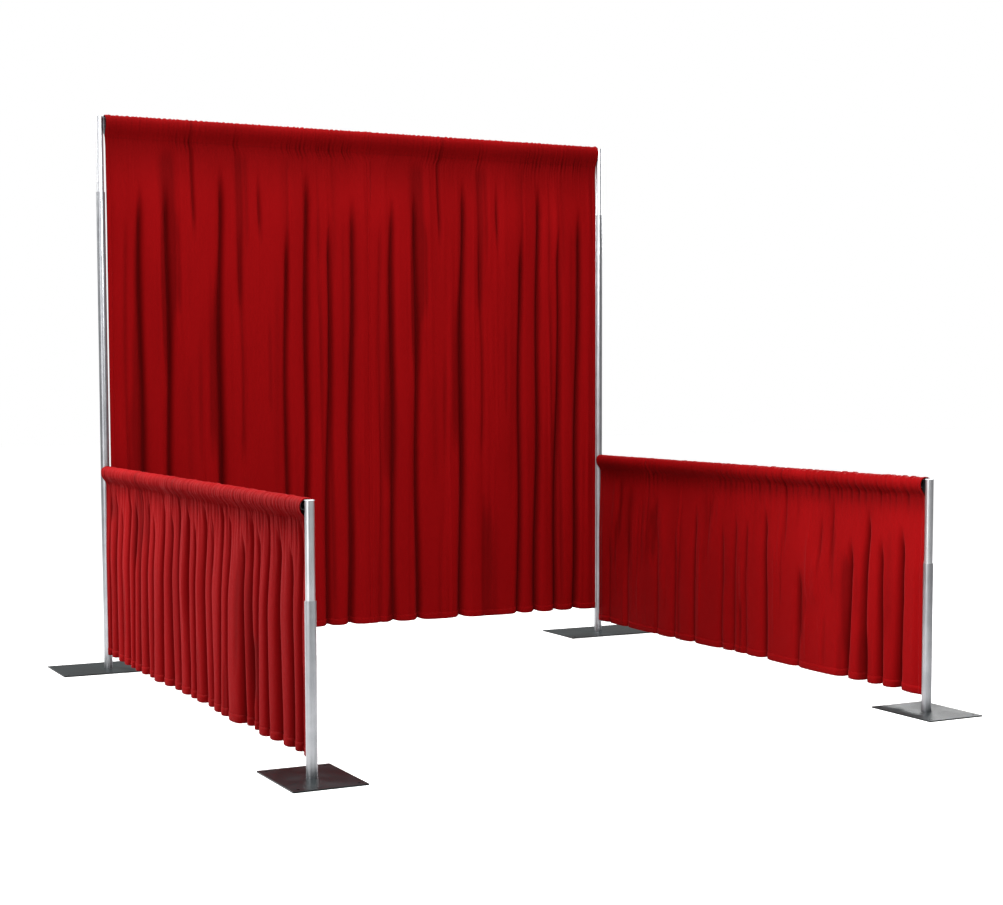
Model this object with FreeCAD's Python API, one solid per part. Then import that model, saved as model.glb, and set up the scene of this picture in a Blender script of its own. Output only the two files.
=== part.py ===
"""Pipe-and-drape exhibition booth: an 8 ft back wall and two 3 ft side walls.

Four telescoping aluminium posts stand on steel base plates. Three telescoping crossbars hook into
slots in the posts, and pleated drapes hang from the crossbars by their rod pockets.
Units are millimetres. The origin is on the floor at the centre of the whole booth's box,
+X runs along the back wall, +Y points away from the open front and +Z is up.
"""
import FreeCAD, Part
import math
import os

Vector = FreeCAD.Vector

# --- driving dimensions: the booth ---
post_spacing = 2525.0          # between post axes, along the back wall and along each side
back_post_height = 2440.0
side_post_height = 900.0
hole_pitch = 101.6             # 4 in between two height settings
height_settings_down = 1
height_settings_up = 6

# --- base plates: width along X, depth along Y ---
plate_thickness = 5.0
rear_plate_width = 470.0
rear_plate_depth = 320.0
front_plate_width = 256.0
front_plate_depth = 346.0
plate_corner_radius = 3.0
plate_hole_inset = 25.0
plate_hole_radius = 5.5
pin_height = 150.0
pin_chamfer = 3.0
bolt_radius = 5.0
bolt_length = 40.0
bolt_head_radius = 9.0
bolt_head_recess = 0.3
thread_fit = 0.05

# --- post tubes ---
tube_wall = 1.65
lower_tube_radius = 19.05      # 1.5 in tube
upper_tube_radius = 15.9       # 1.25 in tube
rear_lower_top = 2110.0
front_lower_top = 576.0
rear_upper_length = 1219.0
front_upper_length = 610.0
bush_height = 40.0
glide_height = 30.0
glide_floor = 3.0
cap_thickness = 2.0
cap_plug_depth = 15.0
running_fit = 0.075
press_gap = 0.05

# --- snap buttons ---
button_radius = 4.0
button_hole_radius = 4.1
button_height_in_tube = 70.0   # above the bottom end of the upper tube
button_reach = 2.6             # stands out of the lower tube
button_flange_radius = 5.0
button_flange_thickness = 1.4
button_flange_gap = 1.2        # between the flange and the inside of the upper tube
button_dome = 1.0
spring_width = 8.0
spring_thickness = 0.8
spring_drop = 55.0
spring_gap = 0.3               # behind the button
spring_wall_gap = 1.0          # to the far wall of the tube

# --- crossbars and their hooks ---
bar_length = 1700.0            # each half of a telescoping crossbar
hook_thickness = 4.0
hook_gap = 1.0
hook_body_width = 22.0
hook_body_top = 14.0
hook_shank_length = 40.0
hook_shank_gap = 0.3           # to the inside of the crossbar
tongue_top = -16.0             # heights below count from the crossbar's axis
tongue_bottom = -30.0
leg_bottom = -44.0
leg_thickness = 4.5
slot_height = 28.0
slot_width = 6.0
rivet_radius = 2.5
rivet_head_radius = 4.5
rivet_head_height = 1.2
rivet_inset = 20.0

# --- drapes ---
cloth = 1.5
cloth_gap = 0.3
pocket_end_gap = 24.0          # from a post axis to the end of a rod pocket
skirt_end_gap = 30.0           # from a post axis to the side hem of the hanging cloth
panel_gap = 3.0                # from the middle of the back wall to a panel's side hem
back_pocket_top = 2445.0
back_pocket_height = 92.0
back_pocket_width = 58.0
back_hem_height = 125.0
back_pleat_count = 10
back_pleat_depth = 28.0
back_hook_drop = 60.0
side_pocket_top = 902.0
side_pocket_height = 70.0
side_pocket_width = 48.0
side_hem_height = 65.0
side_pleat_count = 20
side_pleat_depth = 24.0
side_hook_drop = 42.0

# --- sizes that follow ---
half_spacing = post_spacing / 2
back_y = (post_spacing + front_plate_depth / 2 - rear_plate_depth / 2) / 2
front_y = back_y - post_spacing
lower_bore = lower_tube_radius - tube_wall
upper_bore = upper_tube_radius - tube_wall
bar_radius = lower_tube_radius
bar_bore = bar_radius - tube_wall
inner_bar_radius = bar_bore - running_fit
inner_bar_bore = inner_bar_radius - tube_wall
back_bar_z = back_pocket_top - cloth - cloth_gap - bar_radius
side_bar_z = side_pocket_top - cloth - cloth_gap - bar_radius

UP = Vector(0, 0, 1)
ALONG_X = Vector(1, 0, 0)
ALONG_Y = Vector(0, 1, 0)

nodes = {}


def rod(radius, height, z, x=0.0, y=0.0, axis=UP):
    """A solid cylinder whose first end is centred on (x, y, z)."""
    return Part.makeCylinder(radius, height, Vector(x, y, z), axis)


def ring(outer, inner, height, z):
    """A round tube that stands on z."""
    return rod(outer, height, z).cut(rod(inner, height + 2, z - 1))


def block(x0, x1, y0, y1, z0, z1):
    """A box between two corners."""
    return Part.makeBox(x1 - x0, y1 - y0, z1 - z0, Vector(x0, y0, z0))


def prism(outline, direction):
    """A closed outline of points, or of edges, pushed along a direction."""
    if isinstance(outline[0], Vector):
        wire = Part.makePolygon(outline + [outline[0]])
    else:
        wire = Part.Wire(outline)
    return Part.Face(wire).extrude(direction)


def turned(shape, degrees):
    """A copy turned about the vertical axis through the origin."""
    copy = shape.copy()
    copy.rotate(Vector(0, 0, 0), UP, degrees)
    return copy


def moved(shape, x, y, z=0.0):
    """A copy moved to a new place."""
    copy = shape.copy()
    copy.translate(Vector(x, y, z))
    return copy


# --- base plate, its pin and the bolt that joins them ---

def base_plate(width, depth):
    plate = block(-width / 2, width / 2, -depth / 2, depth / 2, 0, plate_thickness)
    corners = [e for e in plate.Edges if abs(e.tangentAt(e.FirstParameter).z) > 0.5]
    plate = plate.makeFillet(plate_corner_radius, corners)
    for side_x in (-1, 1):
        for side_y in (-1, 1):
            x = side_x * (width / 2 - plate_hole_inset)
            y = side_y * (depth / 2 - plate_hole_inset)
            plate = plate.cut(rod(plate_hole_radius, plate_thickness + 2, -1, x, y))
    sink_depth = plate_thickness - 1
    sink = Part.makeCone(bolt_head_radius + thread_fit, bolt_radius + thread_fit, sink_depth)
    clearance = rod(bolt_radius + thread_fit, plate_thickness + 2, -1)
    return plate.cut(sink).cut(clearance)


def base_pin():
    pin = rod(lower_bore - running_fit, pin_height, plate_thickness)
    top_edges = [e for e in pin.Edges if e.BoundBox.ZMin > plate_thickness + pin_height / 2]
    pin = pin.makeChamfer(pin_chamfer, top_edges)
    return pin.cut(rod(bolt_radius + thread_fit, bolt_length, plate_thickness - 1))


def base_bolt():
    head_height = plate_thickness - 1
    head = Part.makeCone(bolt_head_radius, bolt_radius, head_height)
    head = head.cut(rod(bolt_head_radius + 1, bolt_head_recess, 0))
    shank = rod(bolt_radius, bolt_length - bolt_head_recess - 2, bolt_head_recess)
    return head.fuse(shank).removeSplitter()


# --- telescoping post ---

def hook_slot(tube_radius, degrees, bar_z):
    """The cutter for one slot that a crossbar's hook drops into."""
    low = bar_z + tongue_bottom
    cutter = block(tube_radius / 2, tube_radius + 2, -slot_width / 2, slot_width / 2, low, low + slot_height)
    return turned(cutter, degrees)


def button_bore(radius, z):
    """The cutter for a snap button's hole in the wall that faces +Y."""
    return rod(radius, 2 * lower_tube_radius, z, axis=ALONG_Y)


def lower_tube(top, button_z, settings):
    tube = ring(lower_tube_radius, lower_bore, top - plate_thickness, plate_thickness)
    for step in settings:
        tube = tube.cut(button_bore(button_hole_radius, button_z + step * hole_pitch))
    return tube


def upper_tube(bottom, top, button_z):
    tube = ring(upper_tube_radius, upper_bore, top - cap_thickness - bottom, bottom)
    return tube.cut(button_bore(button_hole_radius, button_z))


def guide_bush(top):
    """Nylon sleeve in the mouth of the lower tube."""
    return ring(lower_bore - press_gap, upper_tube_radius + press_gap, bush_height, top - bush_height)


def glide_cup(bottom):
    """Nylon cup on the lower end of the upper tube."""
    cup = rod(lower_bore - running_fit, glide_height + glide_floor, bottom - glide_floor)
    cup = cup.cut(rod(upper_tube_radius + press_gap, glide_height + 1, bottom))
    return cup.cut(rod(upper_bore - 2, glide_floor + 2, bottom - glide_floor - 1))


def top_cap(top):
    plug_bottom = top - cap_thickness - cap_plug_depth
    plug = rod(upper_bore - press_gap, cap_plug_depth, plug_bottom)
    lid = rod(upper_tube_radius, cap_thickness, top - cap_thickness)
    rim = [e for e in lid.Edges if e.BoundBox.ZMin > top - cap_thickness / 2]
    lid = lid.makeFillet(cap_thickness / 3, rim)
    return lid.fuse(plug)


def snap_button(z):
    foot = upper_bore - button_flange_thickness - button_flange_gap
    tip = lower_tube_radius + button_reach
    shaft = rod(button_radius, tip - foot, z, y=foot, axis=ALONG_Y)
    tip_edges = [e for e in shaft.Edges if e.BoundBox.YMin > (tip + foot) / 2]
    shaft = shaft.makeFillet(button_dome, tip_edges)
    flange = rod(button_flange_radius, button_flange_thickness, z, y=foot, axis=ALONG_Y)
    return shaft.fuse(flange).removeSplitter()


def button_spring(z):
    """A V of spring strip: one leg behind the button, the other against the far wall."""
    near = upper_bore - button_flange_thickness - button_flange_gap - spring_gap
    far = -(upper_bore - spring_wall_gap)
    half = spring_width / 2
    bend = spring_thickness * 2
    outline = [
        Vector(-half, near - spring_thickness, z + half),
        Vector(-half, near, z + half),
        Vector(-half, near, z - half),
        Vector(-half, bend / 2, z - spring_drop),
        Vector(-half, -bend / 2, z - spring_drop),
        Vector(-half, far, z - half),
        Vector(-half, far, z + half),
        Vector(-half, far + spring_thickness, z + half),
        Vector(-half, far + spring_thickness, z - half),
        Vector(-half, 0, z - spring_drop + bend * 2),
        Vector(-half, near - spring_thickness, z - half),
    ]
    return prism(outline, Vector(spring_width, 0, 0))


def make_post(name, x, y, rear, slots):
    """One post. slots lists (which tube, direction in degrees, crossbar height)."""
    width, depth = (rear_plate_width, rear_plate_depth) if rear else (front_plate_width, front_plate_depth)
    top = back_post_height if rear else side_post_height
    lower_top = rear_lower_top if rear else front_lower_top
    bottom = top - (rear_upper_length if rear else front_upper_length)
    settings = range(-height_settings_down, height_settings_up + 1) if rear else (-1, 0, 1)
    button_z = bottom + button_height_in_tube
    pieces = {
        "base_plate": base_plate(width, depth),
        "base_pin": base_pin(),
        "base_bolt": base_bolt(),
        "lower_tube": lower_tube(lower_top, button_z, settings),
        "guide_bush": guide_bush(lower_top),
        "upper_tube": upper_tube(bottom, top, button_z),
        "glide_cup": glide_cup(bottom),
        "top_cap": top_cap(top),
        "snap_button": snap_button(button_z),
        "button_spring": button_spring(button_z),
    }
    for tube_name, degrees, bar_z in slots:
        radius = lower_tube_radius if tube_name == "lower_tube" else upper_tube_radius
        pieces[tube_name] = pieces[tube_name].cut(hook_slot(radius, degrees, bar_z))
    for piece, shape in pieces.items():
        nodes[name + "_" + piece] = moved(shape, x, y)


# --- crossbars: built along +X from a post axis at the origin, then turned ---

def hook(post_radius, bar_inside, drop):
    """A flat steel hook and the rivet that holds it in the end of its crossbar."""
    post_bore = post_radius - tube_wall
    body_in = post_radius + hook_gap
    body_out = body_in + hook_body_width
    leg_out = post_bore - hook_gap
    leg_in = leg_out - leg_thickness
    shank_half = math.sqrt(bar_inside ** 2 - (hook_thickness / 2) ** 2) - hook_shank_gap
    shank_half = min(shank_half, hook_body_top)
    shank_end = body_out + hook_shank_length
    profile = [
        (leg_in, tongue_top), (body_in, tongue_top), (body_in, hook_body_top),
        (body_out, hook_body_top), (body_out, shank_half), (shank_end, shank_half),
        (shank_end, -shank_half), (body_out, -shank_half), (body_out, -drop),
        (body_in, -drop), (body_in, tongue_bottom), (leg_out, tongue_bottom),
        (leg_out, leg_bottom), (leg_in, leg_bottom),
    ]
    outline = [Vector(s, -hook_thickness / 2, z) for s, z in unique(profile)]
    blade = prism(outline, Vector(0, hook_thickness, 0))
    hole = rod(rivet_radius + thread_fit, 2 * bar_radius, 0, x=body_out + rivet_inset, y=-bar_radius, axis=ALONG_Y)
    return blade.cut(hole)


def unique(points):
    """The points without any that repeat the one before."""
    kept = [points[0]]
    for point in points[1:]:
        if point != kept[-1]:
            kept.append(point)
    return kept


def rivet(post_radius, tube_radius):
    x = post_radius + hook_gap + hook_body_width + rivet_inset
    half = tube_radius + rivet_head_height
    shank = rod(rivet_radius, 2 * half, 0, x=x, y=-half, axis=ALONG_Y)
    head_a = rod(rivet_head_radius, rivet_head_height, 0, x=x, y=-half, axis=ALONG_Y)
    head_b = rod(rivet_head_radius, rivet_head_height, 0, x=x, y=tube_radius, axis=ALONG_Y)
    return shank.fuse(head_a).fuse(head_b).removeSplitter()


def bar_tube(post_radius, radius, bore):
    start = post_radius + hook_gap + hook_body_width + hook_shank_gap
    tube = rod(radius, bar_length, 0, x=start, axis=ALONG_X)
    tube = tube.cut(rod(bore, bar_length + 2, 0, x=start - 1, axis=ALONG_X))
    x = post_radius + hook_gap + hook_body_width + rivet_inset
    hole = rod(rivet_radius + thread_fit, 4 * radius, 0, x=x, y=-2 * radius, axis=ALONG_Y)
    return tube.cut(hole)


def make_crossbar(name, start, start_radius, end, degrees, z, drop):
    """A crossbar from the post at start, with its outer half there, to the post at end."""
    ends = [
        ("outer", start, start_radius, degrees, bar_radius, bar_bore),
        ("inner", end, upper_tube_radius, degrees + 180, inner_bar_radius, inner_bar_bore),
    ]
    for half, (x, y), post_radius, angle, radius, bore in ends:
        tube = bar_tube(post_radius, radius, bore)
        fitting = Part.makeCompound([hook(post_radius, bore, drop), rivet(post_radius, radius)])
        nodes[f"{name}_{half}_tube"] = moved(turned(tube, angle), x, y, z)
        nodes[f"{name}_{half}_hook"] = moved(turned(fitting, angle), x, y, z)


# --- drapes: built along +X from x = 0, hanging in the plane y = 0 ---

def pocket_face(width, height, top, x):
    """A standing slot shape in a plane across the bar: straight sides, round top and bottom."""
    r = width / 2
    upper = top - r
    lower = top - height + r
    left, right = -r, r
    edges = [
        Part.LineSegment(Vector(x, left, lower), Vector(x, left, upper)).toShape(),
        Part.Arc(Vector(x, left, upper), Vector(x, 0, top), Vector(x, right, upper)).toShape(),
        Part.LineSegment(Vector(x, right, upper), Vector(x, right, lower)).toShape(),
        Part.Arc(Vector(x, right, lower), Vector(x, 0, top - height), Vector(x, left, lower)).toShape(),
    ]
    return Part.Face(Part.Wire(edges))


def pleat_line(start, length, count, depth, offset):
    """Edges of a row of round pleats, offset square to the cloth, from the start along +X."""
    chord = length / (2 * count)
    lean = 2 * math.atan(2 * depth / chord)
    sine, cosine = math.sin(lean), math.cos(lean)
    edges = []
    for i in range(2 * count):
        side = 1 if i % 2 == 0 else -1
        a = Vector(start + i * chord - side * sine * offset, cosine * offset, 0)
        middle = Vector(start + (i + 0.5) * chord, side * depth + offset, 0)
        b = Vector(start + (i + 1) * chord + side * sine * offset, cosine * offset, 0)
        edges.append(Part.Arc(a, middle, b).toShape())
    return edges, edges[0].Vertexes[0].Point, edges[-1].Vertexes[-1].Point


def drape(pocket_start, pocket_end, skirt_start, skirt_end, pocket, hem, pleats):
    """A pleated sheet below its rod pocket. pocket is (width, height, top), pleats is (count, depth)."""
    width, height, top = pocket
    count, depth = pleats
    run = Vector(pocket_end - pocket_start, 0, 0)
    outside = pocket_face(width, height, top, pocket_start).extrude(run)
    inside = pocket_face(width - 2 * cloth, height - 2 * cloth, top - cloth, pocket_start - 1)
    inside = inside.extrude(run + Vector(2, 0, 0))
    length = skirt_end - skirt_start
    front, front_a, front_b = pleat_line(skirt_start, length, count, depth, cloth / 2)
    rear, rear_a, rear_b = pleat_line(skirt_start, length, count, depth, -cloth / 2)
    closing = [
        Part.LineSegment(front_a, rear_a).toShape(),
        Part.LineSegment(front_b, rear_b).toShape(),
    ]
    wire = Part.Wire(Part.__sortEdges__(front + rear + closing))
    skirt = Part.Face(wire).extrude(Vector(0, 0, top - height + width / 2 - hem))
    skirt.translate(Vector(0, 0, hem))
    return outside.fuse(skirt).cut(inside)


def make_back_drapes():
    pocket = (back_pocket_width, back_pocket_height, back_pocket_top)
    pleats = (back_pleat_count, back_pleat_depth)
    left = drape(
        pocket_end_gap, half_spacing - panel_gap,
        skirt_end_gap, half_spacing - panel_gap, pocket, back_hem_height, pleats,
    )
    right = drape(
        half_spacing + panel_gap, post_spacing - pocket_end_gap,
        half_spacing + panel_gap, post_spacing - skirt_end_gap, pocket, back_hem_height, pleats,
    )
    nodes["back_drape_left"] = moved(left, -half_spacing, back_y)
    nodes["back_drape_right"] = moved(right, -half_spacing, back_y)


def make_side_drape(name, x):
    pocket = (side_pocket_width, side_pocket_height, side_pocket_top)
    pleats = (side_pleat_count, side_pleat_depth)
    cloth_sheet = drape(
        pocket_end_gap, post_spacing - pocket_end_gap,
        skirt_end_gap, post_spacing - skirt_end_gap, pocket, side_hem_height, pleats,
    )
    nodes[name] = moved(turned(cloth_sheet, -90), x, back_y)


def report(name, shape):
    box = shape.BoundBox
    print(f"{name:32s} solids {len(shape.Solids)} valid {shape.isValid()} volume {shape.Volume / 1000:10.1f} cm3",
          f"box {box.XLength:7.1f} {box.YLength:7.1f} {box.ZLength:7.1f}")


# --- the booth ---

make_post("rear_left", -half_spacing, back_y, True,
          [("upper_tube", 0, back_bar_z), ("lower_tube", -90, side_bar_z)])
make_post("rear_right", half_spacing, back_y, True,
          [("upper_tube", 180, back_bar_z), ("lower_tube", -90, side_bar_z)])
make_post("front_left", -half_spacing, front_y, False, [("upper_tube", 90, side_bar_z)])
make_post("front_right", half_spacing, front_y, False, [("upper_tube", 90, side_bar_z)])
make_crossbar("back_bar", (-half_spacing, back_y), upper_tube_radius, (half_spacing, back_y), 0,
              back_bar_z, back_hook_drop)
make_crossbar("left_rail", (-half_spacing, back_y), lower_tube_radius, (-half_spacing, front_y), -90,
              side_bar_z, side_hook_drop)
make_crossbar("right_rail", (half_spacing, back_y), lower_tube_radius, (half_spacing, front_y), -90,
              side_bar_z, side_hook_drop)
make_back_drapes()
make_side_drape("left_drape", -half_spacing)
make_side_drape("right_drape", half_spacing)

os.makedirs("parts", exist_ok=True)
for node_name, node_shape in nodes.items():
    node_shape.exportStep(f"parts/{node_name}.step")
    report(node_name, node_shape)
whole = Part.makeCompound(list(nodes.values())).BoundBox
print("booth box", [round(v, 2) for v in (whole.XMin, whole.YMin, whole.ZMin, whole.XMax, whole.YMax, whole.ZMax)])
print("nodes", len(nodes))
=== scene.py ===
# %% [markdown]
# A pipe-and-drape booth: aluminium posts on steel plates, crossbars hooked between them, and red
# drapes that hang from the crossbars by a rod pocket. The tubes, plates and hooks come in from the
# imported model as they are. What is made here is the cloth, the finishes, the light and the camera.

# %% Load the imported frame
from collections import namedtuple
from math import pi, radians

import bpy
import numpy as np
from mathutils import Matrix, Vector


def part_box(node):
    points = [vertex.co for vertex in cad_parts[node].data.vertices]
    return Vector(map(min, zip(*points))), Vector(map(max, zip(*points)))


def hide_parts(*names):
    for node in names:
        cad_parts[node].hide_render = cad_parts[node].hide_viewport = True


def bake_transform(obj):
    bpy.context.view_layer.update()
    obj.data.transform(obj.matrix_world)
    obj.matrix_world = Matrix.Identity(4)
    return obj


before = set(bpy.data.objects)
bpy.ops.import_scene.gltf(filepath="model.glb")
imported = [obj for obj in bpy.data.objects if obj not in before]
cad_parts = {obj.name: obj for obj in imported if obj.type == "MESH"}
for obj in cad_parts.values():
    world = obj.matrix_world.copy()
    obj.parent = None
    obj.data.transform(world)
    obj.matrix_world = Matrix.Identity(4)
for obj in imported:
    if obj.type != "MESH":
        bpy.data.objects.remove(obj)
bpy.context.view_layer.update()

# %% [markdown]
# The camera stands about 8.5 m from the middle of the back wall, 2 m to the left of the booth and
# at chest height, and looks a little down. A level camera with a large view shift would keep the
# posts upright. The posts lean slightly in this view, so the camera tilts, and its shift is small.
# Its place, turn, tilt, roll and lens are the result of a fit by a separate program.

# %% Camera
camera_place = Vector((-3.311, -6.6255, 1.2726))
camera_turn = radians(27.0)
camera_tilt = radians(3.832)
camera_roll = radians(-0.12)
camera_lens = 64.46
sensor_width = 36.0
view_shift = 0.05

bpy.ops.object.select_all(action="DESELECT")
bpy.ops.object.camera_add()
camera = bpy.context.object
camera.name = "camera"
camera.matrix_world = (
    Matrix.Translation(camera_place)
    @ Matrix.Rotation(-camera_turn, 4, "Z")
    @ Matrix.Rotation(pi / 2 - camera_tilt, 4, "X")
    @ Matrix.Rotation(camera_roll, 4, "Z")
)
camera.data.lens = camera_lens
camera.data.sensor_width = sensor_width
camera.data.shift_y = view_shift
bpy.context.scene.camera = camera
bpy.context.scene.view_settings.view_transform = "Standard"
print("camera at", [round(v, 2) for v in camera.location])

# %% [markdown]
# Catalogue pictures of a booth like this have a bright white room and soft light from all round.
# A plain white world would light the cloth too much and fill its folds. So the world and the floor
# look white to the camera but light the booth more dimly, and five soft lamps do the rest.

# %% Floor and lights
def new_material(name):
    """An empty material, its node tree and its shader."""
    material = bpy.data.materials.new(name)
    material.use_nodes = True
    tree = material.node_tree
    return material, tree, tree.nodes["Principled BSDF"]


def seen_and_lit(tree, seen, lit, surface):
    """Joins two shaders: what is seen straight on, and what lights everything else."""
    path = tree.nodes.new("ShaderNodeLightPath")
    choose = tree.nodes.new("ShaderNodeMixShader")
    tree.links.new(path.outputs["Is Camera Ray"], choose.inputs[0])
    tree.links.new(lit, choose.inputs[1])
    tree.links.new(seen, choose.inputs[2])
    tree.links.new(choose.outputs["Shader"], surface)


def pale_floor():
    """A floor that looks white but sends little light back up."""
    bpy.ops.mesh.primitive_plane_add(size=60)
    floor = bpy.context.object
    floor.name = "floor"
    material, tree, shader = new_material("pale_floor")
    shader.inputs["Base Color"].default_value = (0.45, 0.45, 0.45, 1)
    shader.inputs["Roughness"].default_value = 0.6
    glow = tree.nodes.new("ShaderNodeEmission")
    glow.inputs["Strength"].default_value = 0.85
    both = tree.nodes.new("ShaderNodeAddShader")
    tree.links.new(shader.outputs["BSDF"], both.inputs[0])
    tree.links.new(glow.outputs["Emission"], both.inputs[1])
    surface = tree.nodes["Material Output"].inputs["Surface"]
    seen_and_lit(tree, both.outputs["Shader"], shader.outputs["BSDF"], surface)
    floor.data.materials.append(material)
    return floor


def soft_lamp(name, place, aim, size, watts):
    bpy.ops.object.light_add(type="AREA", location=place)
    lamp = bpy.context.object
    lamp.name = name
    lamp.rotation_euler = (Vector(aim) - Vector(place)).to_track_quat("-Z", "Y").to_euler()
    lamp.data.size = size
    lamp.data.energy = watts
    return lamp


def white_room(tree, room_light):
    """A backdrop that looks white but lights the booth more softly than it looks."""
    seen = tree.nodes["Background"]
    lit = tree.nodes.new("ShaderNodeBackground")
    for background, strength in ((seen, 1.0), (lit, room_light)):
        background.inputs["Color"].default_value = (1, 1, 1, 1)
        background.inputs["Strength"].default_value = strength
    surface = tree.nodes["World Output"].inputs["Surface"]
    seen_and_lit(tree, seen.outputs["Background"], lit.outputs["Background"], surface)


pale_floor()
world = bpy.data.worlds.new("white_room")
bpy.context.scene.world = world
world.use_nodes = True
white_room(world.node_tree, room_light=0.30)
soft_lamp("top_lamp", (0.0, 0.5, 5.5), (0, 0.6, 0), 2.0, 270)
soft_lamp("front_lamp", (-0.7, -3.1, 3.1), (0, 0, 0.8), 2.2, 190)
soft_lamp("left_lamp", (-3.8, 3.3, 4.2), (-1.2, 0, 0.6), 2.0, 780)
soft_lamp("right_lamp", (4.4, 2.4, 3.4), (1.2, 0, 0.6), 2.0, 300)
soft_lamp("card_lamp", (-5.5, -2.5, 1.8), (-1.2, -0.5, 0.7), 3.5, 75)

# %% [markdown]
# The tubes are drawn aluminium: a satin metal with fine lines along the tube. The lines could be
# an image, but noise stretched along the tube never repeats and works on any length. The same
# recipe, with the stretch turned, serves the upright posts and the level crossbars.

# %% Drawn aluminium
def stretched_noise(tree, stretch, scale, detail=3.0):
    """Noise in the object's own space, drawn out along the axis whose stretch is small."""
    place = tree.nodes.new("ShaderNodeTexCoord")
    mapping = tree.nodes.new("ShaderNodeMapping")
    mapping.inputs["Scale"].default_value = stretch
    noise = tree.nodes.new("ShaderNodeTexNoise")
    noise.inputs["Scale"].default_value = scale
    noise.inputs["Detail"].default_value = detail
    tree.links.new(place.outputs["Object"], mapping.inputs["Vector"])
    tree.links.new(mapping.outputs["Vector"], noise.inputs["Vector"])
    return noise.outputs["Fac"]


def two_tone(tree, factor, dark, light, low=0.35, high=0.65):
    """A colour that runs from dark to light with the factor."""
    ramp = tree.nodes.new("ShaderNodeValToRGB")
    ramp.color_ramp.elements[0].position = low
    ramp.color_ramp.elements[0].color = (*dark, 1)
    ramp.color_ramp.elements[1].position = high
    ramp.color_ramp.elements[1].color = (*light, 1)
    tree.links.new(factor, ramp.inputs["Fac"])
    return ramp.outputs["Color"]


def between(tree, factor, low, high):
    """A number that runs from low to high with the factor."""
    span = tree.nodes.new("ShaderNodeMapRange")
    span.inputs["To Min"].default_value = low
    span.inputs["To Max"].default_value = high
    tree.links.new(factor, span.inputs["Value"])
    return span.outputs["Result"]


def bump(tree, shader, height, distance, strength=1.0):
    """Sets the shader's surface relief, in metres."""
    node = tree.nodes.new("ShaderNodeBump")
    node.inputs["Strength"].default_value = strength
    node.inputs["Distance"].default_value = distance
    tree.links.new(height, node.inputs["Height"])
    tree.links.new(node.outputs["Normal"], shader.inputs["Normal"])
    return node


def drawn_aluminium(name, stretch, dark, light):
    material, tree, shader = new_material(name)
    shader.inputs["Metallic"].default_value = 1.0
    lines = stretched_noise(tree, stretch, 900)
    clouds = stretched_noise(tree, (1, 1, 1), 14, 5)
    tree.links.new(two_tone(tree, clouds, dark, light), shader.inputs["Base Color"])
    tree.links.new(between(tree, lines, 0.2, 0.42), shader.inputs["Roughness"])
    bump(tree, shader, lines, 0.00006)
    return material


post_aluminium = drawn_aluminium("post_aluminium", (1, 1, 0.01), (0.38, 0.39, 0.41), (0.46, 0.47, 0.49))
upper_aluminium = drawn_aluminium("upper_aluminium", (1, 1, 0.01), (0.62, 0.63, 0.65), (0.72, 0.73, 0.75))
bar_aluminium_x = drawn_aluminium("bar_aluminium_x", (0.01, 1, 1), (0.38, 0.39, 0.41), (0.46, 0.47, 0.49))
bar_aluminium_y = drawn_aluminium("bar_aluminium_y", (1, 0.01, 1), (0.38, 0.39, 0.41), (0.46, 0.47, 0.49))
print("aluminium finishes made")

# %% [markdown]
# The base plates are steel with a black powder coat. The coat has a fine orange-peel skin and a few
# dusty smears. The hooks and rivets are bare zinc, the buttons brass, the springs blued steel, and
# the bushes and caps moulded plastic.

# %% Plate, hook and fitting finishes
def powder_coat():
    material, tree, shader = new_material("black_powder_coat")
    smears = stretched_noise(tree, (1, 1, 1), 9, 6)
    peel = stretched_noise(tree, (1, 1, 1), 700, 2)
    tree.links.new(
        two_tone(tree, smears, (0.005, 0.007, 0.0075), (0.011, 0.015, 0.016)), shader.inputs["Base Color"]
    )
    tree.links.new(between(tree, smears, 0.22, 0.42), shader.inputs["Roughness"])
    shader.inputs["Specular IOR Level"].default_value = 0.16
    bump(tree, shader, peel, 0.00012)
    return material


def plain_metal(name, dark, light, rough_low, rough_high, grain=300):
    material, tree, shader = new_material(name)
    shader.inputs["Metallic"].default_value = 1.0
    mottle = stretched_noise(tree, (1, 1, 1), grain / 8, 5)
    skin = stretched_noise(tree, (1, 1, 1), grain, 3)
    tree.links.new(two_tone(tree, mottle, dark, light), shader.inputs["Base Color"])
    tree.links.new(between(tree, mottle, rough_low, rough_high), shader.inputs["Roughness"])
    bump(tree, shader, skin, 0.00005)
    return material


def moulded_plastic(name, dark, light, roughness):
    material, tree, shader = new_material(name)
    mottle = stretched_noise(tree, (1, 1, 1), 60, 4)
    texture = stretched_noise(tree, (1, 1, 1), 1500, 2)
    tree.links.new(two_tone(tree, mottle, dark, light), shader.inputs["Base Color"])
    shader.inputs["Roughness"].default_value = roughness
    bump(tree, shader, texture, 0.00005)
    return material


black_coat = powder_coat()
zinc = plain_metal("zinc_plate", (0.30, 0.31, 0.33), (0.50, 0.51, 0.54), 0.3, 0.5)
dark_zinc = plain_metal("dark_zinc", (0.10, 0.10, 0.11), (0.20, 0.20, 0.22), 0.35, 0.55)
spring_blue = plain_metal("spring_steel", (0.12, 0.12, 0.14), (0.22, 0.22, 0.26), 0.25, 0.4)
brass = plain_metal("brass", (0.55, 0.40, 0.16), (0.72, 0.55, 0.26), 0.2, 0.38)
nylon = moulded_plastic("black_nylon", (0.012, 0.012, 0.013), (0.03, 0.03, 0.032), 0.5)
cap_plastic = moulded_plastic("grey_cap", (0.42, 0.43, 0.45), (0.52, 0.53, 0.55), 0.45)

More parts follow.
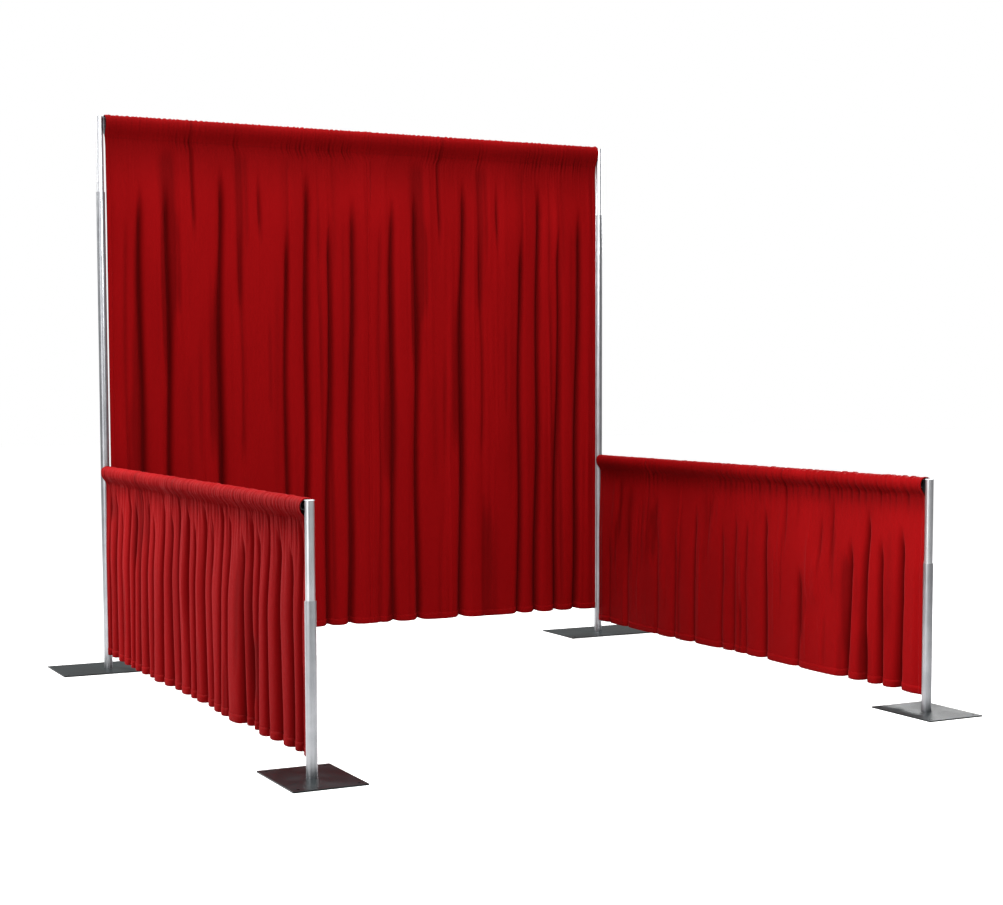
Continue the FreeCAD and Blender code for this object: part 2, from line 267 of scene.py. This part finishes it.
finish_of = {
    "lower_tube": post_aluminium,
    "upper_tube": upper_aluminium,
    "base_plate": black_coat,
    "base_pin": zinc,
    "base_bolt": zinc,
    "guide_bush": nylon,
    "glide_cup": nylon,
    "top_cap": cap_plastic,
    "snap_button": brass,
    "button_spring": spring_blue,
    "outer_hook": dark_zinc,
    "inner_hook": dark_zinc,
}


def finish_for(node):
    """The finish for a node, by the end of its name."""
    if node.endswith(("outer_tube", "inner_tube")):
        return bar_aluminium_x if node.startswith("back") else bar_aluminium_y
    for ending, material in finish_of.items():
        if node.endswith(ending):
            return material
    return None


finished = 0
for node, cad_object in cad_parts.items():
    material = finish_for(node)
    if material:
        for material_slot in cad_object.material_slots:
            material_slot.material = material
        finished += 1
print("finished", finished, "metal and plastic nodes")

# %% [markdown]
# The drapes are a matt woven polyester. The weave is fine, about a millimetre, with thicker
# threads here and there, so two crossed waves bent by a little noise give the threads, and a
# slower noise along each thread direction gives the slubs. The pattern follows the cloth's own
# UV map, which is in metres, so it bends with every fold. Shade is painted into the colour: a
# darker, plainer red at the bottom of the folds, in creases and puckers, in the dips of the
# pocket's ruffle, and as a band of painted shadow under the pocket. The cloth has a soft sheen on
# its outer faces and dashes of thread on the stitch lines. The painted shade and the stitch lines
# come from numbers that each point of the mesh carries.

# %% Cloth finish
thread_pitch = 0.0011


def cloth_pattern(tree):
    """The thread relief and the slubs, from the cloth's own UV map in metres."""
    uv = tree.nodes.new("ShaderNodeUVMap")
    uv.uv_map = "cloth"
    waves = []
    for direction in ("X", "Y"):
        wave = tree.nodes.new("ShaderNodeTexWave")
        wave.bands_direction = direction
        wave.inputs["Scale"].default_value = pi / 10 / thread_pitch
        wave.inputs["Distortion"].default_value = 0.6
        wave.inputs["Detail"].default_value = 1.0
        tree.links.new(uv.outputs["UV"], wave.inputs["Vector"])
        waves.append(wave.outputs["Fac"])
    weave = worked_out(tree, "MULTIPLY", waves[0], waves[1])
    slubs = []
    for stretch in ((900, 18, 1), (14, 900, 1)):
        mapping = tree.nodes.new("ShaderNodeMapping")
        mapping.inputs["Scale"].default_value = stretch
        noise = tree.nodes.new("ShaderNodeTexNoise")
        noise.inputs["Scale"].default_value = 1.0
        noise.inputs["Detail"].default_value = 2.0
        tree.links.new(uv.outputs["UV"], mapping.inputs["Vector"])
        tree.links.new(mapping.outputs["Vector"], noise.inputs["Vector"])
        slubs.append(noise.outputs["Fac"])
    return weave, slubs


def worked_out(tree, operation, first, second=None):
    """One sum on numbers or on outputs of other nodes."""
    node = tree.nodes.new("ShaderNodeMath")
    node.operation = operation
    for index, value in enumerate((first, second)):
        if isinstance(value, (int, float)):
            node.inputs[index].default_value = value
        elif value is not None:
            tree.links.new(value, node.inputs[index])
    return node.outputs["Value"]


def point_value(tree, name):
    """A number that each point of the mesh carries."""
    node = tree.nodes.new("ShaderNodeAttribute")
    node.attribute_name = name
    return node.outputs["Fac"]


stitch_width = 0.0012
stitch_pitch = 0.004
stitch_share = 0.65


def stitches(tree):
    """1 on the thread of the stitch lines and 0 elsewhere: dashes 2.6 mm long, 4 mm apart."""
    uv = tree.nodes.new("ShaderNodeUVMap")
    uv.uv_map = "cloth"
    split = tree.nodes.new("ShaderNodeSeparateXYZ")
    tree.links.new(uv.outputs["UV"], split.inputs[0])
    off_line = worked_out(tree, "ABSOLUTE", point_value(tree, "stitch"))
    on_line = worked_out(tree, "LESS_THAN", off_line, stitch_width / 2)
    along = worked_out(tree, "FRACT", worked_out(tree, "MULTIPLY", split.outputs["X"], 1 / stitch_pitch))
    on_dash = worked_out(tree, "LESS_THAN", along, stitch_share)
    return worked_out(tree, "MULTIPLY", on_line, on_dash)


def mixed(tree, a, b, share=0.5):
    """A weighted mean of two numbers."""
    node = tree.nodes.new("ShaderNodeMix")
    node.inputs["Factor"].default_value = share
    tree.links.new(a, node.inputs["A"])
    tree.links.new(b, node.inputs["B"])
    return node.outputs["Result"]


def red_cloth():
    material, tree, shader = new_material("red_cloth")
    weave, slubs = cloth_pattern(tree)
    slub = mixed(tree, slubs[0], slubs[1])
    fade = stretched_noise(tree, (1, 1, 0.25), 5, 4)
    tone = mixed(tree, slub, fade, 0.45)
    # The cloth's own red, and a darker copy painted as shade in folds, puckers and under the pocket.
    unshaded_red = two_tone(tree, tone, (0.150, 0.0006, 0.0011), (0.205, 0.0014, 0.0022), 0.3, 0.7)
    painted_shade_red = two_tone(tree, tone, (0.050, 0.0002, 0.0003), (0.075, 0.0004, 0.0007), 0.3, 0.7)
    unshaded = point_value(tree, "unshaded")
    outer = worked_out(tree, "POWER", unshaded, 6.0)
    thread = stitches(tree)
    # Each point's share left free of painted shade mixes the two; stitch dashes darken it.
    lit = worked_out(tree, "MULTIPLY", unshaded, between(tree, thread, 1.0, 0.35))
    colour = tree.nodes.new("ShaderNodeMix")
    colour.data_type = "RGBA"
    tree.links.new(lit, colour.inputs["Factor"])
    tree.links.new(painted_shade_red, colour.inputs[6])
    tree.links.new(unshaded_red, colour.inputs[7])
    tree.links.new(colour.outputs[2], shader.inputs["Base Color"])
    tree.links.new(between(tree, slub, 0.72, 0.9), shader.inputs["Roughness"])
    shader.inputs["Specular IOR Level"].default_value = 0.03
    tree.links.new(between(tree, outer, 0.0, 0.12), shader.inputs["Sheen Weight"])
    shader.inputs["Sheen Roughness"].default_value = 0.25
    shader.inputs["Sheen Tint"].default_value = (1.0, 0.22, 0.25, 1)
    relief = worked_out(tree, "SUBTRACT", mixed(tree, weave, slub, 0.4), thread)
    bump(tree, shader, relief, 0.0004, 0.7)
    return material


cloth_finish = red_cloth()
print("cloth finish", cloth_finish.name)

# %% [markdown]
# A drape is one strip of cloth. It starts at the stitched seam behind the crossbar, goes up over
# the bar, down to the seam again, and then hangs as the skirt. A flat grid has the same layout:
# columns across the cloth and rows along it. Each grid point is moved to its place on the drape by
# a formula, as a sculptor would push it. A cloth simulation could find the folds too, but folds
# that are listed one by one can be wide here and narrow there, and start at set heights.

# %% Folds
# place: from the skirt's left edge. depth: how far the valley goes back. starts, stops: distance
# below the seam. width: half the valley's width. drift: how far it has moved sideways at the hem.
Fold = namedtuple("Fold", "place depth starts width drift stops", defaults=(0.0, 9.0))

# A fold at least this far back gets the full painted shade at its bottom.
full_shade_depth = 0.022


def ramp_up(value):
    """0 below 0, 1 above 1, and a smooth rise between."""
    t = np.clip(value, 0, 1)
    return t * t * (3 - 2 * t)


def fold_relief(along, drop, height, folds, pinch):
    """How far each point moves sideways and back, and how much shade is painted on it in a fold (0 to 1).
    """
    shift = np.zeros_like(along)
    back = np.zeros_like(along)
    fold_shade = np.zeros_like(along)
    for number, fold in enumerate(folds):
        fade = 0.10 + 0.05 * height
        present = ramp_up((drop - fold.starts) / fade) * (1 - ramp_up((drop - fold.stops) / 0.2))
        wander = 0.005 * np.sin(drop * 5.0 + number * 1.7) * ramp_up(drop / 0.3)
        centre = fold.place + fold.drift * (drop / height) ** 1.3 + wander
        width = fold.width * (0.65 + 0.35 * present) * (1 + 0.3 * drop / height)
        t = (along - centre) / width
        valley = 0.75 * np.exp(-t * t) + 0.25 * np.exp(-((t / 2.4) ** 2))
        back += fold.depth * present * (0.85 + 0.3 * drop / height) * valley
        shift -= pinch * present * width * t * np.exp(-t * t / 2)
        # Painted shade, strongest at the bottom of the valley and in folds that go far back.
        bottom = np.exp(-((t / 0.85) ** 2))
        fold_shade = np.maximum(fold_shade, present * bottom * min(1, fold.depth / full_shade_depth))
    return shift, back, fold_shade


def creases(along, drop, length, height, seed, count, size):
    """Small random creases that come and go on the way down. Every fifth one is broad."""
    random = np.random.default_rng(seed)
    relief = np.zeros_like(along)
    for number in range(count):
        place = random.uniform(0, length)
        width = random.uniform(0.006, 0.016) * (2.4 if number % 5 == 0 else 1)
        top = random.uniform(-0.2, 0.75) * height
        span = random.uniform(0.25, 0.8) * height
        depth = random.uniform(-1, 1) * size * (2.2 if number % 5 == 0 else 1)
        lean = random.uniform(-0.02, 0.02)
        present = ramp_up((drop - top) / (0.3 * span)) * ramp_up((top + span - drop) / (0.3 * span))
        t = (along - place - lean * (drop - top)) / width
        relief += depth * present * np.exp(-t * t)
    return relief


def puckers(along, seed, pitch):
    """The gathering ripple along a seam, between -1 and 1."""
    random = np.random.default_rng(seed)
    ripple = np.zeros_like(along)
    for share, part in ((0.55, 1.0), (0.3, 1.63), (0.15, 0.41)):
        phase = random.uniform(0, 2 * pi)
        swing = 0.35 * np.sin(along * 2 * pi / (pitch * 9 * part) + phase)
        ripple += share * np.sin(2 * pi * (along / (pitch * part) + swing) + phase)
    return ripple


# %% Grid lines of a drape
def spaced(start, end, first_step, last_step):
    """Distances from start to end whose steps grow or shrink evenly."""
    count = max(2, round(2 * (end - start) / (first_step + last_step)))
    t = np.linspace(0, 1, count + 1)
    grow = (last_step - first_step) / (last_step + first_step)
    return start + (end - start) * (t * (1 - grow) + t * t * grow)


hem_fold = 0.030
side_fold = 0.018
layer_gap = 0.0015
cloth_thickness = 0.0011
fullness = 1.3


def across(length, step):
    """Column places and layers: a turned-back side hem, the face, and the other side hem."""
    face = np.linspace(0, length, round(length / step) + 1)
    turned = np.linspace(layer_gap, side_fold, 4)
    places = np.concatenate([turned[::-1], face, length - turned])
    layers = np.concatenate([np.ones(4), np.zeros(len(face)), np.ones(4)])
    layers[4] = layers[4 + len(face) - 1] = 0.5
    return places, layers


def down(pocket_length, height):
    """Row distances and layers: round the pocket, down the skirt, and back up behind the hem."""
    pocket = np.linspace(0, pocket_length, 29)
    upper = spaced(0, 0.3 * height, 0.006, 0.02 + 0.008 * height)
    middle = spaced(0.3 * height, height - 0.06, 0.02 + 0.008 * height, 0.014)
    lower = np.array([0.045, 0.033, 0.0305, 0.0295, 0.027, 0.012, 0.003, 0])
    skirt = np.concatenate([upper[1:], middle[1:], height - lower])
    turned = height - np.linspace(layer_gap, hem_fold, 4)
    rows = np.concatenate([pocket, pocket_length + skirt, pocket_length + turned])
    layers = np.concatenate([np.zeros(len(pocket) + len(skirt)), np.ones(4)])
    layers[len(pocket) + len(skirt) - 1] = 0.5
    return rows, layers


# %% Surface of a drape
# The last two fields give a band of painted shadow under the pocket: how dark it is and how far down it
# reaches.
Drape = namedtuple(
    "Drape",
    "start length height pocket_height pocket_radius pocket_ends lean folds pinch seed crease_count "
    "crease_size gather gather_pitch gather_fade clusters scallop shelter shelter_reach",
)


def pocket_outline(d):
    """Half the pocket, from its top down to the seam: heights below the top and half widths."""
    radius, tall = d.pocket_radius, d.pocket_height
    over = np.linspace(0, pi / 2, 9)
    taper = np.linspace(0, 1, 13)[1:]
    below = np.concatenate([radius * (1 - np.cos(over)), radius + (tall - radius) * taper])
    seam_half = 0.0012
    narrow = seam_half + (radius - seam_half) * (1 - ramp_up(taper**1.5))
    half = np.concatenate([radius * np.sin(over), narrow])
    return below, half


def pocket_turn(d):
    """The length of cloth round the pocket."""
    below, half = pocket_outline(d)
    return 2 * float(np.sum(np.hypot(np.diff(below), np.diff(half))))


def pocket_place(d, distance):
    """How far out and up from the seam a point is, by its distance round the pocket."""
    below, half = pocket_outline(d)
    walk = np.concatenate([[0], np.cumsum(np.hypot(np.diff(below), np.diff(half)))])
    from_top = distance - walk[-1]
    side = np.sign(from_top)
    out = side * np.interp(np.abs(from_top), walk, half)
    up = d.pocket_height - np.interp(np.abs(from_top), walk, below)
    return out, up


# How far in from a side edge the cloth leans forward or back, to pass its neighbour.
lean_reach = 0.08


def gathered_share(d, along):
    """How tightly the seam is gathered here: a little everywhere, and more in the clusters."""
    share = np.full_like(along, 0.2)
    for place, reach in d.clusters:
        share += np.exp(-(((along - place) / reach) ** 2))
    return np.minimum(share, 1)


def drape_surface(d, along, distance):
    """Each point's place along the bar, out to the front, and above the seam."""
    turn = pocket_turn(d)
    drop = np.maximum(distance - turn, 0)
    on_skirt = distance > turn
    ripple = puckers(along, d.seed, d.gather_pitch) * d.gather * gathered_share(d, along)

    roll_out, roll_up = pocket_place(d, np.minimum(distance, turn))
    near_seam = 1 - ramp_up(roll_up / (0.8 * d.pocket_height))
    near_top = ramp_up(roll_up / d.pocket_height * 2 - 1)
    full = 1 + 0.06 * np.sin(along * 2 * pi / 0.47 + d.seed) * np.sin(pi * roll_up / d.pocket_height)
    ruffle = 0.0026 * puckers(along, d.seed + 7, 0.019)
    lifted = 0.3 * (ripple + 1.2 * d.gather)
    roll_out = roll_out * full + ripple * near_seam + np.sign(roll_out) * lifted * (1 - near_seam)
    roll_up = roll_up + near_top * (lifted + ruffle)

    shift, back, fold_shade = fold_relief(along, drop, d.height, d.folds, d.pinch)
    small = creases(along, drop, d.length, d.height, d.seed + 1, d.crease_count, d.crease_size)
    near_end = np.minimum(along, d.length - along)
    calm = 0.35 + 0.65 * ramp_up(near_end / 0.05)
    sway = 0.006 * np.sin(along * 5.3 + d.seed) * ramp_up(drop / d.height)
    forward = 0.017 * ramp_up(drop / 0.36) * (1 + 0.2 * drop / d.height)
    gathers = ripple * np.exp(-drop / d.gather_fade)
    first_lean, last_lean = d.lean
    lean = first_lean * (1 - ramp_up(along / lean_reach))
    lean = lean + last_lean * (1 - ramp_up((d.length - along) / lean_reach))
    lean = lean * ramp_up(drop / 0.08)
    skirt_out = calm * (forward - back + small * ramp_up(drop / 0.1) + sway) + gathers + lean
    skirt_up = -drop + d.scallop * (back / 0.045) * (drop / d.height) ** 2

    flare = np.where(on_skirt, 1 - ramp_up(drop / 0.05), 1)
    first_end, last_end = d.pocket_ends
    part = along / d.length
    side = ((1 - part) * first_end + part * last_end) * flare
    side = side + np.where(on_skirt, shift * calm, 0)
    out = np.where(on_skirt, skirt_out, roll_out)
    up = np.where(on_skirt, skirt_up, roll_up)
    return along + side, out, up


def drape_points(d, places, column_layers, distances, row_layers):
    """The whole grid of points, with the turned-back hems set behind the face."""
    along, distance = np.meshgrid(places, distances)
    points = np.stack(drape_surface(d, along, distance), axis=-1)
    small = 0.0004
    east = np.stack(drape_surface(d, along + small, distance), axis=-1)
    south = np.stack(drape_surface(d, along, distance + small), axis=-1)
    normal = np.cross(east - points, south - points)
    normal /= np.maximum(np.linalg.norm(normal, axis=-1, keepdims=True), 1e-12)
    layer = column_layers[None, :] + row_layers[:, None]
    return points, normal, layer


def unshaded_share_of(d, places, distances):
    """1 on the cloth's outer faces, falling to 0 where shade is painted in folds, puckers and under the
    pocket.
    """
    along, distance = np.meshgrid(places, distances)
    below_seam = distance - pocket_turn(d)
    drop = np.maximum(below_seam, 0)
    # Painted shade at the bottom of the folds.
    fold_shade = fold_relief(along, drop, d.height, d.folds, d.pinch)[2]
    small = creases(along, drop, d.length, d.height, d.seed + 1, d.crease_count, d.crease_size)
    # Painted shade in the creases that sink back.
    crease_shade = np.clip(-small / (2.2 * d.crease_size), 0, 0.5) * ramp_up(drop / 0.1)
    # A band of painted shadow under the pocket's roll, just below the seam.
    shadow_under_pocket = d.shelter * np.exp(-(((below_seam - 0.01) / d.shelter_reach) ** 2))
    # Painted shade in the hollows of the gathered seam's puckers.
    pucker_shade = np.clip(-1.6 * puckers(along, d.seed, d.gather_pitch) - 0.2, 0, 1) * gathered_share(d, along)
    pucker_shade *= np.exp(-(((below_seam - 0.005) / (0.6 * d.gather_fade + 0.012)) ** 2))
    # Painted shade in the dips of the ruffle on the pocket's top.
    ruffle_shade = np.clip(-puckers(along, d.seed + 7, 0.019), 0, 1) * ramp_up(-below_seam / 0.05)
    return (1 - fold_shade) * (1 - crease_shade) * (1 - shadow_under_pocket) * (1 - 0.9 * pucker_shade) * (1 - 0.3 * ruffle_shade)


def stitch_distance(d, distances):
    """How far each row is from the nearest line of stitches: one at the seam and one on the hem."""
    turn = pocket_turn(d)
    lines = (turn + 0.003, turn + d.height - hem_fold + 0.003)
    signed = np.stack([distances - line for line in lines])
    nearest = np.abs(signed).argmin(axis=0)
    return np.take_along_axis(signed, nearest[None, :], axis=0)[0]


# %% Build a drape
def clean_selection():
    if bpy.context.object and bpy.context.object.mode != "OBJECT":
        bpy.ops.object.mode_set(mode="OBJECT")
    bpy.ops.object.select_all(action="DESELECT")


def flat_grid(name, columns, rows):
    """A flat grid, with the column and the row that each of its points is in."""
    clean_selection()
    bpy.ops.mesh.primitive_grid_add(x_subdivisions=columns - 1, y_subdivisions=rows - 1, size=1)
    piece = bpy.context.object
    piece.name = name
    piece.data.name = name
    flat = np.empty(len(piece.data.vertices) * 3)
    piece.data.vertices.foreach_get("co", flat)
    flat = flat.reshape(-1, 3)
    column = np.rint((flat[:, 0] + 0.5) * (columns - 1)).astype(int)
    row = np.rint((flat[:, 1] + 0.5) * (rows - 1)).astype(int)
    return piece, column, row


def thicken(piece, thickness):
    """Gives a flat piece its thickness, half to each side."""
    solid = piece.modifiers.new("thickness", "SOLIDIFY")
    solid.thickness = thickness
    solid.offset = 0
    bpy.ops.object.modifier_apply(modifier=solid.name)


def build_drape(name, d, along_axis, front_axis, step):
    """A drape from its start point at the seam's height, as one closed sheet."""
    places, column_layers = across(d.length, step)
    distances, row_layers = down(pocket_turn(d), d.height)
    points, normal, layer = drape_points(d, places, column_layers, distances, row_layers)
    points = points + normal * (layer * layer_gap)[..., None]

    columns, rows = len(places), len(distances)
    piece, column, row = flat_grid(name, columns, rows)
    mesh = piece.data
    place = points[row, column]
    world_points = (
        np.array(d.start)
        + place[:, :1] * np.array(along_axis)
        + place[:, 1:2] * np.array(front_axis)
        + place[:, 2:] * np.array((0, 0, 1))
    )
    mesh.vertices.foreach_set("co", world_points.ravel())

    mesh.uv_layers[0].name = "cloth"
    corner = np.empty(len(mesh.loops), dtype=np.int32)
    mesh.loops.foreach_get("vertex_index", corner)
    uv = np.stack([places[column[corner]] * fullness, distances[row[corner]]], axis=1)
    mesh.uv_layers["cloth"].data.foreach_set("uv", uv.ravel())
    mesh.update()

    # Each point carries the share of its colour that is left free of painted shade.
    unshaded = mesh.attributes.new("unshaded", "FLOAT", "POINT")
    unshaded.data.foreach_set("value", unshaded_share_of(d, places, distances)[row, column].ravel())
    stitch = mesh.attributes.new("stitch", "FLOAT", "POINT")
    stitch.data.foreach_set("value", stitch_distance(d, distances)[row])

    thicken(piece, cloth_thickness)
    bpy.ops.object.shade_smooth()
    mesh.materials.append(cloth_finish)
    print(name, columns, "x", rows, "points,", len(mesh.polygons), "faces")
    return piece


# %% [markdown]
# The back wall has two panels of the same cut, side by side. They were folded and steamed the same
# way, so they hang in the same folds. Broad rounded folds stand between narrow valleys, and few
# valleys reach up to the pocket: most begin a hand's width or two below it. The folds' places, here
# and on the side walls, were measured by a separate program and not chosen by hand.

# %% Back wall drapes
def axis_point(post):
    """A point on a post's axis, at the floor."""
    low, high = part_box(post + "_lower_tube")
    return Vector(((low.x + high.x) / 2, (low.y + high.y) / 2, 0))


def drape_between(node, first, last, first_gap, last_gap, folds, pocket_ends, **settings):
    """A drape's sizes: it hangs between two points, with a gap at each, as high as its stand-in."""
    low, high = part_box(node)
    run = (last - first).normalized()
    start = first + run * first_gap
    start.z = high.z - settings["pocket_height"]
    length = (last - first).length - first_gap - last_gap
    return Drape(
        start=start, length=length, height=start.z - low.z, folds=folds, pocket_ends=pocket_ends, **settings
    )


back_folds = [
    Fold(0.075, 0.008, 0.30, 0.012),
    Fold(0.145, 0.024, 0.18, 0.015),
    Fold(0.273, 0.029, 0.14, 0.015),
    Fold(0.390, 0.015, -0.12, 0.012, 0.0, 0.28),
    Fold(0.520, 0.031, 0.08, 0.016, -0.015),
    Fold(0.613, 0.010, 0.32, 0.013, 0.0, 1.3),
    Fold(0.706, 0.016, 0.08, 0.012, 0.010, 0.30),
    Fold(0.833, 0.024, 0.34, 0.015, -0.015),
    Fold(0.936, 0.032, 0.07, 0.016, -0.020),
    Fold(1.051, 0.028, 0.30, 0.016, -0.030),
    Fold(1.167, 0.030, 0.20, 0.019, -0.030),
]
# The last two settings give the painted shadow under the pocket.
back_settings = dict(
    pocket_height=0.092, pocket_radius=0.026, pinch=0.35, seed=3, crease_count=130, crease_size=0.0036,
    gather=0.006, gather_pitch=0.016, gather_fade=0.05,
    clusters=((0.36, 0.05), (0.60, 0.02), (0.89, 0.06), (1.04, 0.05), (1.15, 0.03)), scallop=0.012,
    shelter=0.36, shelter_reach=0.15,
)
middle = (axis_point("rear_left") + axis_point("rear_right")) / 2
panel_overlap = 0.018
back_gap_left = 0.024
back_gap_right = 0.0205
left_panel = drape_between(
    "back_drape_left", axis_point("rear_left"), middle, back_gap_left, -panel_overlap, back_folds,
    (-0.002, -panel_overlap - 0.0004), lean=(0.0, 0.0045), **back_settings,
)
right_panel = drape_between(
    "back_drape_right", middle, axis_point("rear_right"), -panel_overlap, back_gap_right, back_folds,
    (panel_overlap + 0.0004, 0.0025), lean=(-0.0055, 0.0), **back_settings,
)
back_step = 0.0036
back_panels = []
for node, style in (("back_drape_left", left_panel), ("back_drape_right", right_panel)):
    panel = build_drape(node + "_cloth", style, (1, 0, 0), (0, -1, 0), back_step)
    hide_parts(node)
    back_panels.append(panel)

# %% [markdown]
# The left wall's drape is gathered much tighter than the others: short, round, even pleats that
# begin right at the seam. The right wall's drape is slack, so it has few folds and a smooth top.

# %% Side wall drapes
left_places = [
    0.05, 0.15, 0.26, 0.37, 0.46, 0.55, 0.65, 0.74, 0.87, 0.98, 1.08, 1.20,
    1.29, 1.40, 1.50, 1.61, 1.70, 1.85, 1.93, 2.01, 2.11, 2.21, 2.33, 2.42,
]
left_folds = [
    Fold(
        place, 0.026 + 0.004 * ((3 * n) % 5), -0.05 + 0.03 * ((2 * n) % 5),
        0.013 + 0.003 * ((3 * n) % 4),
    )
    for n, place in enumerate(left_places)
]
right_folds = [
    Fold(0.11, 0.008, 0.30, 0.016),
    Fold(0.29, 0.010, 0.22, 0.014),
    Fold(0.42, 0.006, 0.08, 0.016, 0.0, 0.35),
    Fold(0.57, 0.010, 0.22, 0.015),
    Fold(0.72, 0.014, 0.24, 0.014, 0.01),
    Fold(0.89, 0.017, 0.12, 0.014),
    Fold(1.00, 0.011, 0.04, 0.011, 0.0, 0.22),
    Fold(1.11, 0.014, 0.18, 0.014),
    Fold(1.21, 0.012, 0.12, 0.014),
    Fold(1.30, 0.010, 0.16, 0.013),
    Fold(1.44, 0.026, 0.09, 0.014),
    Fold(1.58, 0.012, -0.10, 0.011, 0.0, 0.15),
    Fold(1.70, 0.014, 0.32, 0.014),
    Fold(1.84, 0.012, 0.08, 0.012, 0.0, 0.25),
    Fold(1.91, 0.014, 0.00, 0.011, 0.0, 0.22),
    Fold(2.04, 0.030, 0.18, 0.015, -0.02),
    Fold(2.14, 0.030, 0.05, 0.014, -0.01),
    Fold(2.235, 0.028, 0.16, 0.014, -0.01),
    Fold(2.35, 0.034, 0.11, 0.016, -0.015),
]
side_gap = 0.024
front_gap = 0.0185
side_settings = dict(pocket_height=0.070, pocket_radius=0.0235, scallop=0.008, lean=(0.0, 0.0))
# On the side walls too, two settings give the painted shadow under the pocket.
left_style = drape_between(
    "left_drape", axis_point("rear_left"), axis_point("front_left"), side_gap, front_gap, left_folds,
    (0.0, 0.0), pinch=0.6, seed=11, crease_count=60, crease_size=0.003,
    gather=0.0055, gather_pitch=0.024, gather_fade=0.10, clusters=((1.2, 3.0),),
    shelter=0.35, shelter_reach=0.03, **side_settings,
)
right_style = drape_between(
    "right_drape", axis_point("rear_right"), axis_point("front_right"), side_gap, front_gap, right_folds,
    (0.0, 0.0), pinch=0.35, seed=23, crease_count=110, crease_size=0.0036,
    gather=0.008, gather_pitch=0.034, gather_fade=0.05,
    clusters=((0.5, 0.06), (1.2, 0.12), (1.5, 0.16), (1.95, 0.2), (2.3, 0.12)),
    shelter=0.40, shelter_reach=0.05, **side_settings,
)
side_step = 0.005
side_panels = []
for side, style in (("left", left_style), ("right", right_style)):
    node = side + "_drape"
    panel = build_drape(node + "_cloth", style, (0, -1, 0), (-1, 0, 0), side_step)
    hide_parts(node)
    side_panels.append(panel)

# %% [markdown]
# Behind each snap button is a V of spring strip: one leg pushes the button out, the other rests on
# the far wall of the tube. When the button is pressed the legs close. One strip is made and the
# other three are copies of it.

# %% Button springs
strip_thickness = 0.0008
bend_radius = 0.0016


def spring_path(low, high):
    """The strip's middle line, in the plane across the tube: far leg, bend and near leg."""
    half = strip_thickness / 2
    middle = (low.y + high.y) / 2
    leg = high.x - low.x
    far, near = low.y + half, high.y - half
    centre = low.z + half + bend_radius
    turn = np.linspace(0, pi, 9)
    bend = [(middle - bend_radius * np.cos(a), centre - bend_radius * np.sin(a)) for a in turn]
    far_leg = [(far, high.z), (far, high.z - leg)]
    near_leg = [(near, high.z - leg), (near, high.z)]
    points = far_leg + bend + near_leg
    return np.array(points)


def build_spring(name, node):
    low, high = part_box(node)
    path = spring_path(low, high)
    piece, column, row = flat_grid(name, 3, len(path))
    widths = np.linspace(low.x, high.x, 3)
    points = np.stack([widths[column], path[row, 0], path[row, 1]], axis=1)
    piece.data.vertices.foreach_set("co", points.ravel())
    piece.data.update()
    thicken(piece, strip_thickness)
    bpy.ops.object.shade_smooth_by_angle(angle=radians(40))
    piece.data.materials.append(spring_blue)
    return piece


posts = ["rear_left", "rear_right", "front_left", "front_right"]
first_spring = build_spring("rear_left_spring_strip", "rear_left_button_spring")
for post in posts:
    node = post + "_button_spring"
    low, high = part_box(node)
    spring = first_spring
    if post != "rear_left":
        clean_selection()
        first_spring.select_set(True)
        bpy.context.view_layer.objects.active = first_spring
        bpy.ops.object.duplicate()
        spring = bpy.context.object
        spring.name = post + "_spring_strip"
        spring.data.name = spring.name
        spring.data.transform(Matrix.Translation(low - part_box("rear_left_button_spring")[0]))
    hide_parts(node)
for post in posts:
    low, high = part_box(post + "_button_spring")
    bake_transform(bpy.data.objects[post + "_spring_strip"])
print("springs", [post + "_spring_strip" for post in posts])

# %% [markdown]
# A drape hangs from both halves of a telescoping crossbar, so when the bar slides out its pleats
# spread. Each drape runs from post axis to post axis, and its place is baked into its mesh.

back_bars = ["back_bar_outer_tube", "back_bar_inner_tube"]
for panel, bar in zip(back_panels, back_bars):
    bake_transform(panel)
for side, panel in zip(("left", "right"), side_panels):
    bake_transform(panel)
